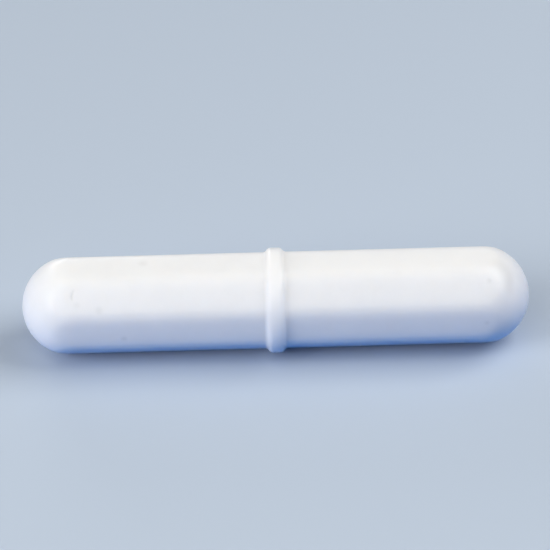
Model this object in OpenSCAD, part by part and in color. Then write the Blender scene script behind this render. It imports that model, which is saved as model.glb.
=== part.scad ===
// Magnetic stir bar: a bar magnet sealed in a white PTFE jacket.
// The body is octagonal with rounded corners and has domed ends. A pivot ring is moulded
// round its middle, and the bar stands on the crown of that ring and spins on it.
// It lies along X, with the lowest point of the ring at the origin.

/* [Body] */
// Length over the two domed ends
bar_length = 50.8; // [46:0.1:76]
// Distance between opposite flats of the octagon
across_flats = 9.525; // [8:0.025:13]
// How far the rounding takes each corner in from a sharp octagon's corner
corner_relief = 0.2; // [0.1:0.01:0.3]

/* [Pivot ring] */
// How far the crown stands above the flats
ring_height = 0.5; // [0.4:0.02:1]
// Width of the level band along the crown
crown_width = 0.5; // [0.2:0.05:1.5]
// Radius of the rounded shoulders beside the crown
shoulder_r = 1.1; // [0.8:0.05:1.5]
// Radius of the fillets where the ring runs into the body
foot_r = 0.6; // [0.4:0.05:1]

/* [Magnet] */
// Diameter of the bar magnet
magnet_d = 6.35; // [4:0.05:7]
// Length of the bar magnet
magnet_length = 41.3; // [30:0.1:42]
// Chamfer on the rims of the magnet
magnet_chamfer = 0.4; // [0.2:0.05:1]

/* [Hidden] */
$fn = 96;
sides = 8;
bar_d = across_flats / cos(180 / sides) - 2 * corner_relief;
ring_d = across_flats + 2 * ring_height;
// The fillets end a little way under the flats, so that they meet every flat and corner.
foot_sink = 0.04;
foot_level = across_flats / 2 - foot_sink + foot_r;
shoulder_level = ring_d / 2 - shoulder_r;
// Shoulder and fillet overlap by a hair, so that one runs into the other with no gap.
blend_overlap = 0.002;
centre_spacing = shoulder_r + foot_r - blend_overlap;
foot_offset = crown_width / 2
    + sqrt(pow(centre_spacing, 2) - pow(foot_level - shoulder_level, 2));

// Lays a shape that stands round Z along X, at the height at which the ring's crown
// touches the plane below. The seam of what is round then lies on top, away from that
// contact.
module lay_along_x() {
    translate([0, 0, ring_d / 2]) rotate([0, -90, 0]) children();
}

// A round bar with hemispherical ends, centred on the origin.
module domed_bar(d, length) {
    cylinder(h = length - d, d = d, center = true);
    for (end = [-1, 1]) {
        translate([0, 0, end * (length - d) / 2]) sphere(d = d);
    }
}

// An octagonal bar with two of its flats facing along X.
module octagonal_bar(across, length) {
    rotate([0, 0, 180 / sides]) {
        cylinder(h = length, d = across / cos(180 / sides), center = true, $fn = sides);
    }
}

// One half of the ring's section, from the middle of the crown outwards. The first axis
// is the distance from the bar's axis, and the second runs along the bar.
module ring_half_section() {
    root = magnet_d / 2 + 0.5;
    translate([root, 0]) square([ring_d / 2 - root, crown_width / 2]);
    intersection() {
        translate([shoulder_level, crown_width / 2]) circle(r = shoulder_r);
        translate([root, 0]) square([ring_d / 2, foot_offset]);
    }
    difference() {
        polygon([
            [root, 0],
            [shoulder_level, crown_width / 2],
            [foot_level, foot_offset],
            [root, foot_offset]
        ]);
        translate([foot_level, foot_offset]) circle(r = foot_r);
    }
}

module pivot_ring() {
    rotate_extrude() {
        ring_half_section();
        mirror([0, 1]) ring_half_section();
    }
}

module bar_magnet_shape() {
    rim = magnet_d / 2;
    end = magnet_length / 2;
    rotate_extrude() {
        polygon([
            [0, -end],
            [rim - magnet_chamfer, -end],
            [rim, -end + magnet_chamfer],
            [rim, end - magnet_chamfer],
            [rim - magnet_chamfer, end],
            [0, end]
        ]);
    }
}

module jacket() {
    color([0.95, 0.95, 0.96]) lay_along_x() difference() {
        union() {
            // The flats cut the round bar's sides and run out in arcs on its domes.
            intersection() {
                domed_bar(bar_d, bar_length);
                octagonal_bar(across_flats, bar_length + 1);
            }
            pivot_ring();
        }
        bar_magnet_shape();
    }
}

module magnet() {
    color([0.42, 0.42, 0.44]) lay_along_x() bar_magnet_shape();
}

jacket();
magnet();
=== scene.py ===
"""Looks of a magnetic stir bar: a bar magnet sealed in a white PTFE jacket.

The jacket's CAD solid is replaced by a finer mesh of the same form, with softened edges,
a few small knocks and a waxy, slightly uneven skin. The magnet keeps its CAD mesh.
"""
import math

import bpy
import numpy as np
from mathutils import Matrix, Vector, noise


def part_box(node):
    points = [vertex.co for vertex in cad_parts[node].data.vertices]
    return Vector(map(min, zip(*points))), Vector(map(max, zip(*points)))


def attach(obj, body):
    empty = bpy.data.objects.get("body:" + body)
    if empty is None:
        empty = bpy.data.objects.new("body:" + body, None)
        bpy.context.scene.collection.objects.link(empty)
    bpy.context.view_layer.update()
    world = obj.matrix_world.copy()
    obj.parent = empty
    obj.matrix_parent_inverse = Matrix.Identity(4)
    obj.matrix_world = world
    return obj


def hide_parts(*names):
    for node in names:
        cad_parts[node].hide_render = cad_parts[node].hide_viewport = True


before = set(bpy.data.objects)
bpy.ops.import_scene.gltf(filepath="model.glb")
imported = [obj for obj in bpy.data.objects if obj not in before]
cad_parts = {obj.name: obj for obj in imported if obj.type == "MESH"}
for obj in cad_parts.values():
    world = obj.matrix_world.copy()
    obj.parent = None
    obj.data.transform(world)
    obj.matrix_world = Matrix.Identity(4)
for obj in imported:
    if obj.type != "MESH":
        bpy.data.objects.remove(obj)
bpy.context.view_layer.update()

MM = 0.001

# ---------------------------------------------------------------- sizes, in millimetres
jacket_low, jacket_high = (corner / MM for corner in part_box("jacket"))
LENGTH = jacket_high.x - jacket_low.x
RING_RADIUS = (jacket_high.z - jacket_low.z) / 2
AXIS_HEIGHT = (jacket_high.z + jacket_low.z) / 2

SIDES = 8
ACROSS_FLATS = 9.525
FLAT_RADIUS = ACROSS_FLATS / 2    # from the axis to a flat of the octagon
DOME_RADIUS = 4.95
DOME_CENTRE = LENGTH / 2 - DOME_RADIUS
CORNER_SOFTNESS = 0.40            # how widely two neighbouring flats run into each other
RUNOUT_SOFTNESS = 0.26            # how widely a flat runs out into the dome

CROWN_HALF_WIDTH = 0.36           # level band along the top of the pivot ring
SHOULDER_RADIUS = 0.52
FOOT_RADIUS = 0.40

WAVINESS = 0.006                  # depth of the moulding's slow unevenness
WAVE_LENGTH = 5.0

# The mesh. Its stations lie closer together near the ring and near each knock: crowding is
# how many more there are, and reach is how far that goes.
COLUMNS = 300                     # points round the bar
STATIONS = 300                    # points from end to end
PATH_STEPS = 20000                # fine steps that the stations are picked from
RING_CROWDING = 3.5
RING_REACH = 1.6
KNOCK_CROWDING = 1.2
KNOCK_REACH = 0.6

# Small knocks in the skin: place along the bar, turn from the top towards the front in
# degrees, half length round the bar, half width along it, slant, bend, and depth.
KNOCKS = [
    (-20.24, 39.6, 0.44, 0.11, -0.17, 0.53, 0.085),    # the curved nick
    (-19.80, 51.5, 0.20, 0.22, 0.0, 0.0, 0.018),
    (-17.60, 58.0, 0.14, 0.24, 0.0, 0.0, 0.012),
    (20.95, 89.0, 0.17, 0.17, 0.0, 0.0, 0.030),
    (21.28, 36.0, 0.30, 0.16, 0.30, -0.8, 0.026),
    (22.20, 40.0, 0.22, 0.22, 0.0, 0.0, 0.018),
]

# Faint grey smudges and painted shade: place along the bar, turn in degrees, radius, and how much
# they darken.
SMUDGES_AND_PAINTED_SHADE = [
    # darker along the curved nick
    (-20.09, 34.8, 0.26, 0.040),
    (-20.18, 37.2, 0.28, 0.055),
    (-20.24, 39.6, 0.28, 0.065),
    (-20.25, 42.0, 0.28, 0.065),
    (-20.22, 44.4, 0.26, 0.045),
    # single spots
    (-19.80, 52.3, 0.55, 0.05),
    (-17.60, 59.0, 0.60, 0.08),
    (-15.20, 98.0, 0.50, 0.10),
    (-13.12, -5.0, 0.75, 0.06),
    (20.95, 89.0, 0.42, 0.08),
    (21.28, 36.0, 0.45, 0.06),
    # painted shade: a soft arc on the right dome
    (22.30, 12.0, 1.30, 0.05),
    (22.95, 17.0, 1.30, 0.05),
    (23.10, 27.0, 1.30, 0.09),
    (23.20, 38.0, 1.20, 0.07),
    (23.20, 48.0, 1.00, 0.03),
]


# ---------------------------------------------------------------- form of the jacket
def smooth_min(a, b, softness):
    """The smaller of two distances, rounded over where they are within softness."""
    overlap = np.maximum(softness - np.abs(a - b), 0)
    return np.minimum(a, b) - overlap**2 / (4 * softness)


def octagon_radius(turn):
    """Distance from the axis to the octagon's outline; turn 0 is the middle of the top flat."""
    step = 2 * math.pi / SIDES
    folded = np.abs((turn + step / 2) % step - step / 2)
    return smooth_min(
        FLAT_RADIUS / np.cos(folded), FLAT_RADIUS / np.cos(step - folded), CORNER_SOFTNESS
    )


def body_reach(turn, polar):
    """Distance to the body's surface, from a dome's centre or, where polar is a right angle,
    from the axis. polar is the angle to the axis."""
    nearly_zero = 1e-6
    flats = octagon_radius(turn) / np.maximum(np.sin(polar), nearly_zero)
    return smooth_min(flats, DOME_RADIUS, RUNOUT_SOFTNESS)


def ring_share(x):
    """How far the surface has risen from the body to the ring's crown, from 0 to 1. The
    section is a level crown, a rounded shoulder and a hollow foot."""
    rise = RING_RADIUS - FLAT_RADIUS
    slope_between = math.acos(1 - rise / (SHOULDER_RADIUS + FOOT_RADIUS))
    shoulder_end = CROWN_HALF_WIDTH + SHOULDER_RADIUS * math.sin(slope_between)
    foot_end = shoulder_end + FOOT_RADIUS * math.sin(slope_between)
    out = np.abs(x)
    past_crown = np.clip(out - CROWN_HALF_WIDTH, 0, shoulder_end - CROWN_HALF_WIDTH)
    shoulder = rise - SHOULDER_RADIUS + np.sqrt(SHOULDER_RADIUS**2 - past_crown**2)
    to_foot = np.clip(foot_end - out, 0, foot_end - shoulder_end)
    foot = FOOT_RADIUS - np.sqrt(FOOT_RADIUS**2 - to_foot**2)
    return np.where(out < shoulder_end, shoulder, foot) / rise


def knock_depth(along, turn):
    """How deep the knocks are at each point, all of them together."""
    depth = np.zeros_like(along)
    for place, degrees, half_length, half_width, slant, bend, deepest in KNOCKS:
        round_bar = FLAT_RADIUS * (turn - math.radians(degrees))
        along_bar = along - place - slant * round_bar - bend * round_bar**2
        depth += deepest * np.exp(-(round_bar / half_length)**2 - (along_bar / half_width)**2)
    return depth


def meridian():
    """The stations from end to end. Returns, for each, the point on the axis that it is
    measured from and the angle to the axis."""
    end = DOME_CENTRE + DOME_RADIUS * math.pi / 2
    fine = np.linspace(-end, end, PATH_STEPS + 1)
    density = 1 + RING_CROWDING * np.exp(-(fine / RING_REACH)**4)
    for place in sorted({knock[0] for knock in KNOCKS}):
        density += KNOCK_CROWDING * np.exp(-((fine - place) / KNOCK_REACH)**2)
    share = np.cumsum(density)
    share = (share - share[0]) / (share[-1] - share[0])
    path = np.interp(np.linspace(0, 1, STATIONS), share, fine)
    origin = np.clip(path, -DOME_CENTRE, DOME_CENTRE)
    polar = math.pi / 2 - (path - origin) / DOME_RADIUS
    return origin, polar


def skin_points():
    """The jacket's outer surface: an array of stations by columns, in millimetres."""
    origin, polar = meridian()
    turn = np.arange(COLUMNS) * 2 * math.pi / COLUMNS
    origin, polar, turn = np.broadcast_arrays(origin[:, None], polar[:, None], turn)
    reach = body_reach(turn, polar)
    reach += (RING_RADIUS - reach) * ring_share(origin)
    along = origin + reach * np.cos(polar)
    signed_turn = (turn + math.pi) % (2 * math.pi) - math.pi
    reach -= knock_depth(along, signed_turn)
    direction = np.stack(
        [np.cos(polar), -np.sin(polar) * np.sin(turn), np.sin(polar) * np.cos(turn)], -1
    )
    points = direction * reach[..., None]
    points[..., 0] += origin
    # The ring, on which the bar stands, stays free of the unevenness.
    for point, way in zip(points.reshape(-1, 3), direction.reshape(-1, 3)):
        if abs(point[0]) > CROWN_HALF_WIDTH + SHOULDER_RADIUS:
            point -= way * WAVINESS * (0.5 + 0.5 * noise.noise(Vector(point) / WAVE_LENGTH))
    points[..., 2] += AXIS_HEIGHT
    return points


def jacket_mesh():
    """The skin, closed at both tips, and the cavity that the magnet fills."""
    points = skin_points()
    rows = points[1:-1]
    count = len(rows)
    vertices = list(map(tuple, rows.reshape(-1, 3) * MM))
    vertices += [tuple(points[0, 0] * MM), tuple(points[-1, 0] * MM)]
    left_tip, right_tip = count * COLUMNS, count * COLUMNS + 1
    faces = []
    for column in range(COLUMNS):
        after = (column + 1) % COLUMNS
        for row in range(count - 1):
            low, high = row * COLUMNS, (row + 1) * COLUMNS
            faces.append((low + column, low + after, high + after, high + column))
        last = (count - 1) * COLUMNS
        faces.append((left_tip, after, column))
        faces.append((right_tip, last + column, last + after))
    # The cavity is the magnet's own surface, turned inside out.
    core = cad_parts["magnet"].data
    start = len(vertices)
    vertices += [tuple(vertex.co) for vertex in core.vertices]
    faces += [tuple(start + i for i in reversed(face.vertices)) for face in core.polygons]
    mesh = bpy.data.meshes.new("ptfe_jacket")
    mesh.from_pydata(vertices, [], faces)
    mesh.update()
    mesh.shade_smooth()
    return mesh


# ---------------------------------------------------------------- nodes for the materials
MID_NOISE = (0.3, 0.7)            # where most of a noise texture's values lie

# The sockets of a colour mix, by number because their names repeat.
MIX_FACTOR, MIX_FIRST, MIX_SECOND, MIX_RESULT = 0, 6, 7, 2


def new_material(name):
    material = bpy.data.materials.new(name)
    material.use_nodes = True
    return material, material.node_tree.nodes, material.node_tree.links


def noise_texture(nodes, links, coordinates, scale, detail, roughness=0.5):
    texture = nodes.new("ShaderNodeTexNoise")
    texture.inputs["Scale"].default_value = scale
    texture.inputs["Detail"].default_value = detail
    texture.inputs["Roughness"].default_value = roughness
    links.new(coordinates, texture.inputs["Vector"])
    return texture.outputs["Fac"]


def ramp(nodes, links, value, stops):
    """A colour ramp; stops are (place, colour) pairs."""
    node = nodes.new("ShaderNodeValToRGB")
    elements = node.color_ramp.elements
    while len(elements) < len(stops):
        elements.new(0.5)
    for element, (place, colour) in zip(elements, stops):
        element.position = place
        element.color = (*colour, 1)
    links.new(value, node.inputs["Fac"])
    return node.outputs["Color"]


def map_range(nodes, links, value, source, target=(0, 1), kind="LINEAR"):
    """Takes the range source to the range target, and holds what is beyond at its ends."""
    node = nodes.new("ShaderNodeMapRange")
    node.interpolation_type = kind
    for name, number in zip(("From Min", "From Max", "To Min", "To Max"), (*source, *target)):
        node.inputs[name].default_value = number
    links.new(value, node.inputs["Value"])
    return node.outputs["Result"]


def mix_colours(nodes, links, factor, first, second, blend="MIX"):
    """Each of the three is a socket to link, or a value to set."""
    node = nodes.new("ShaderNodeMix")
    node.data_type = "RGBA"
    node.blend_type = blend
    for socket, value in ((MIX_FACTOR, factor), (MIX_FIRST, first), (MIX_SECOND, second)):
        if isinstance(value, bpy.types.NodeSocket):
            links.new(value, node.inputs[socket])
        else:
            node.inputs[socket].default_value = value
    return node.outputs[MIX_RESULT]


def roughen(nodes, links, shader, height, strength, distance):
    """Gives the surface the height's relief, distance millimetres deep."""
    bump = nodes.new("ShaderNodeBump")
    bump.inputs["Strength"].default_value = strength
    bump.inputs["Distance"].default_value = distance * MM
    links.new(height, bump.inputs["Height"])
    links.new(bump.outputs["Normal"], shader.inputs["Normal"])


def seen_directly(nodes, links):
    """1 to the camera, in gloss and through clear things; 0 to diffuse light."""
    path = nodes.new("ShaderNodeLightPath")
    total = path.outputs["Is Camera Ray"]
    for kind in ("Is Glossy Ray", "Is Transmission Ray"):
        add = nodes.new("ShaderNodeMath")
        add.operation = "MAXIMUM"
        links.new(total, add.inputs[0])
        links.new(path.outputs[kind], add.inputs[1])
        total = add.outputs["Value"]
    return total


# ---------------------------------------------------------------- materials of the pieces
def painted_ring_light_and_foot_shade(nodes, links, place):
    """Painted light and shade: the solid ring is painted whiter than the rest of the skin,
    and a painted shade darkens its foot."""
    axes = nodes.new("ShaderNodeSeparateXYZ")
    links.new(place, axes.inputs["Vector"])
    from_middle = nodes.new("ShaderNodeMath")
    from_middle.operation = "ABSOLUTE"
    links.new(axes.outputs["X"], from_middle.inputs[0])
    span = 2 * MM
    share = map_range(nodes, links, from_middle.outputs["Value"], (0, span))
    # painted light whitens the ring; the slight dip at its foot is painted shade
    return ramp(nodes, links, share, [
        (0.25, (1.0, 1.0, 1.0)),
        (0.60, (0.90, 0.90, 0.90)),
        (0.80, (0.92, 0.92, 0.92)),
    ])


def smudge_and_painted_shade(nodes, links, place, along, degrees, radius, darkness):
    """A grey that fades out from one point of the skin: 1 where it leaves the colour be."""
    turn = math.radians(degrees)
    into_dome = max(abs(along) - DOME_CENTRE, 0)
    radius_here = min(FLAT_RADIUS, math.sqrt(DOME_RADIUS**2 - into_dome**2))
    centre = Vector((along, -radius_here * math.sin(turn), radius_here * math.cos(turn)))
    distance = nodes.new("ShaderNodeVectorMath")
    distance.operation = "DISTANCE"
    distance.inputs[1].default_value = (centre + Vector((0, 0, AXIS_HEIGHT))) * MM
    links.new(place, distance.inputs[0])
    return map_range(
        nodes, links, distance.outputs["Value"], (0, radius * MM), (1 - darkness, 1), "SMOOTHSTEP"
    )


def ptfe():
    """Sintered PTFE: waxy white, faintly cloudy, with a soft gloss that varies a little."""
    material, nodes, links = new_material("ptfe")
    shader = nodes["Principled BSDF"]
    place = nodes.new("ShaderNodeTexCoord").outputs["Object"]
    cloud = noise_texture(nodes, links, place, scale=260, detail=5, roughness=0.6)
    colour = ramp(nodes, links, cloud, [
        (0.30, (0.944, 0.944, 0.948)),
        (0.52, (0.967, 0.967, 0.969)),
        (0.75, (0.982, 0.981, 0.980)),
    ])
    # The ring's tone is painted light on the ring, with painted shade at its foot.
    shades = [painted_ring_light_and_foot_shade(nodes, links, place)]
    # Grey spots on the skin; the arc on the right dome is painted shade.
    shades += [smudge_and_painted_shade(nodes, links, place, *mark) for mark in SMUDGES_AND_PAINTED_SHADE]
    for shade in shades:
        colour = mix_colours(nodes, links, 1.0, colour, shade, "MULTIPLY")
    links.new(colour, shader.inputs["Base Color"])
    patches = noise_texture(nodes, links, place, scale=420, detail=3)
    roughness = map_range(nodes, links, patches, MID_NOISE, (0.28, 0.38))
    links.new(roughness, shader.inputs["Roughness"])
    grain = noise_texture(nodes, links, place, scale=2600, detail=3, roughness=0.6)
    roughen(nodes, links, shader, grain, strength=0.25, distance=0.02)
    shader.inputs["IOR"].default_value = 1.38
    shader.inputs["Subsurface Weight"].default_value = 1.0
    shader.inputs["Subsurface Radius"].default_value = (1.0, 0.95, 0.90)
    shader.inputs["Subsurface Scale"].default_value = 1.5 * MM
    return material


def magnet_alloy():
    """Cast magnet alloy: dull grey metal with a fine, sandy grain."""
    material, nodes, links = new_material("magnet_alloy")
    shader = nodes["Principled BSDF"]
    place = nodes.new("ShaderNodeTexCoord").outputs["Object"]
    blotches = noise_texture(nodes, links, place, scale=600, detail=6, roughness=0.65)
    colour = ramp(nodes, links, blotches, [
        (0.30, (0.24, 0.24, 0.26)),
        (0.55, (0.33, 0.33, 0.35)),
        (0.80, (0.42, 0.42, 0.44)),
    ])
    links.new(colour, shader.inputs["Base Color"])
    roughness = map_range(nodes, links, blotches, MID_NOISE, (0.45, 0.65))
    links.new(roughness, shader.inputs["Roughness"])
    grain = noise_texture(nodes, links, place, scale=4500, detail=4, roughness=0.7)
    roughen(nodes, links, shader, grain, strength=0.5, distance=0.04)
    shader.inputs["Metallic"].default_value = 1.0
    return material


# ---------------------------------------------------------------- pieces
def add_object(name, data):
    obj = bpy.data.objects.new(name, data)
    bpy.context.scene.collection.objects.link(obj)
    return obj


jacket = add_object("ptfe_jacket", jacket_mesh())
jacket.data.materials.append(ptfe())
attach(jacket, "root")
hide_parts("jacket")

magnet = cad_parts["magnet"]
magnet.data.materials.clear()
magnet.data.materials.append(magnet_alloy())

# ---------------------------------------------------------------- floor and surround
FLOOR_SIZE = 3.0                  # metres
FLOOR_SEEN = (0.50, 0.58, 0.69, 1)
FLOOR_BOUNCE = (0.0, 0.16, 0.54, 1)
SURROUND_SEEN = (0.60, 0.68, 0.78, 1)
FILL_STRENGTH = 0.05


def floor_paint():
    """Pale to look at; what it throws back on the bar is dimmer and bluer."""
    material, nodes, links = new_material("floor_paint")
    shader = nodes["Principled BSDF"]
    colour = mix_colours(nodes, links, seen_directly(nodes, links), FLOOR_BOUNCE, FLOOR_SEEN)
    links.new(colour, shader.inputs["Base Color"])
    shader.inputs["Roughness"].default_value = 0.85
    return material


def floor_sheet():
    half = FLOOR_SIZE / 2
    corners = [(-half, -half, 0), (half, -half, 0), (half, half, 0), (-half, half, 0)]
    mesh = bpy.data.meshes.new("floor")
    mesh.from_pydata(corners, [], [(0, 1, 2, 3)])
    mesh.materials.append(floor_paint())
    return mesh


def studio_world():
    """A pale surround to look at and in gloss, and a weak white fill to diffuse light."""
    world = bpy.data.worlds.new("studio")
    world.use_nodes = True
    nodes, links = world.node_tree.nodes, world.node_tree.links
    fill = nodes["Background"]
    fill.inputs["Color"].default_value = (1, 1, 1, 1)
    fill.inputs["Strength"].default_value = FILL_STRENGTH
    surround = nodes.new("ShaderNodeBackground")
    surround.inputs["Color"].default_value = SURROUND_SEEN
    surround.inputs["Strength"].default_value = 1.0
    mix = nodes.new("ShaderNodeMixShader")
    links.new(seen_directly(nodes, links), mix.inputs["Fac"])
    links.new(fill.outputs["Background"], mix.inputs[1])
    links.new(surround.outputs["Background"], mix.inputs[2])
    links.new(mix.outputs["Shader"], nodes["World Output"].inputs["Surface"])
    return world


floor = add_object("floor", floor_sheet())
bpy.context.scene.world = studio_world()

# ---------------------------------------------------------------- lamps, in metres and watts
TARGET = Vector((0, 0, AXIS_HEIGHT * MM))
LAMP_DISTANCE = 0.38
LAMP_COLOUR = (1.0, 0.990, 0.972)


def softbox(name, azimuth, elevation, size, power, in_gloss=True):
    """A square lamp that faces the bar; azimuth 0 is the camera's side and 90 the right.
    in_gloss says whether gloss mirrors the lamp itself."""
    lamp = bpy.data.lights.new(name, "AREA")
    lamp.shape = "SQUARE"
    lamp.size = size
    lamp.energy = power
    lamp.color = LAMP_COLOUR
    turn, rise = math.radians(azimuth), math.radians(elevation)
    way = Vector(
        (math.sin(turn) * math.cos(rise), -math.cos(turn) * math.cos(rise), math.sin(rise))
    )
    obj = add_object(name, lamp)
    obj.location = TARGET + way * LAMP_DISTANCE
    obj.rotation_euler = way.to_track_quat("Z", "Y").to_euler()
    obj.visible_glossy = in_gloss


softbox("key_light", azimuth=300, elevation=30, size=0.18, power=0.44)
# The low lamp's mirror image would whiten the upper flats, seen from the right end.
softbox("low_left_light", azimuth=285, elevation=11, size=0.14, power=0.51, in_gloss=False)
softbox("right_light", azimuth=90, elevation=50, size=0.30, power=1.14)
softbox("top_light", azimuth=330, elevation=50, size=0.30, power=0.41)
softbox("back_light", azimuth=195, elevation=16, size=0.16, power=0.24)

# ---------------------------------------------------------------- camera
# It looks across the bar from the front and above, a little rolled.
IMAGE_SIZE = 550
BAR_PIXELS = 506.8                # the bar's length in the picture
BAR_MIDDLE = (275.6, 300.0)       # its middle, in pixels from the left and from the top
ELEVATION = math.radians(38)
ROLL = math.radians(1.55)
CAMERA_DISTANCE = 0.6             # metres
SENSOR = 36.0                     # millimetres, the camera's own unit
view_width = IMAGE_SIZE / BAR_PIXELS * LENGTH * MM
camera_data = bpy.data.cameras.new("camera")
camera_data.sensor_width = SENSOR
camera_data.lens = SENSOR * CAMERA_DISTANCE / view_width
camera_data.shift_x = (IMAGE_SIZE / 2 - BAR_MIDDLE[0]) / IMAGE_SIZE
camera_data.shift_y = (BAR_MIDDLE[1] - IMAGE_SIZE / 2) / IMAGE_SIZE
camera = add_object("camera", camera_data)
camera_place = TARGET + Vector((0, -math.cos(ELEVATION), math.sin(ELEVATION))) * CAMERA_DISTANCE
camera.matrix_world = (
    Matrix.Translation(camera_place)
    @ Matrix.Rotation(math.pi / 2 - ELEVATION, 4, "X")
    @ Matrix.Rotation(-ROLL, 4, "Z")
)
bpy.context.scene.camera = camera
bpy.context.scene.view_settings.view_transform = "Standard"
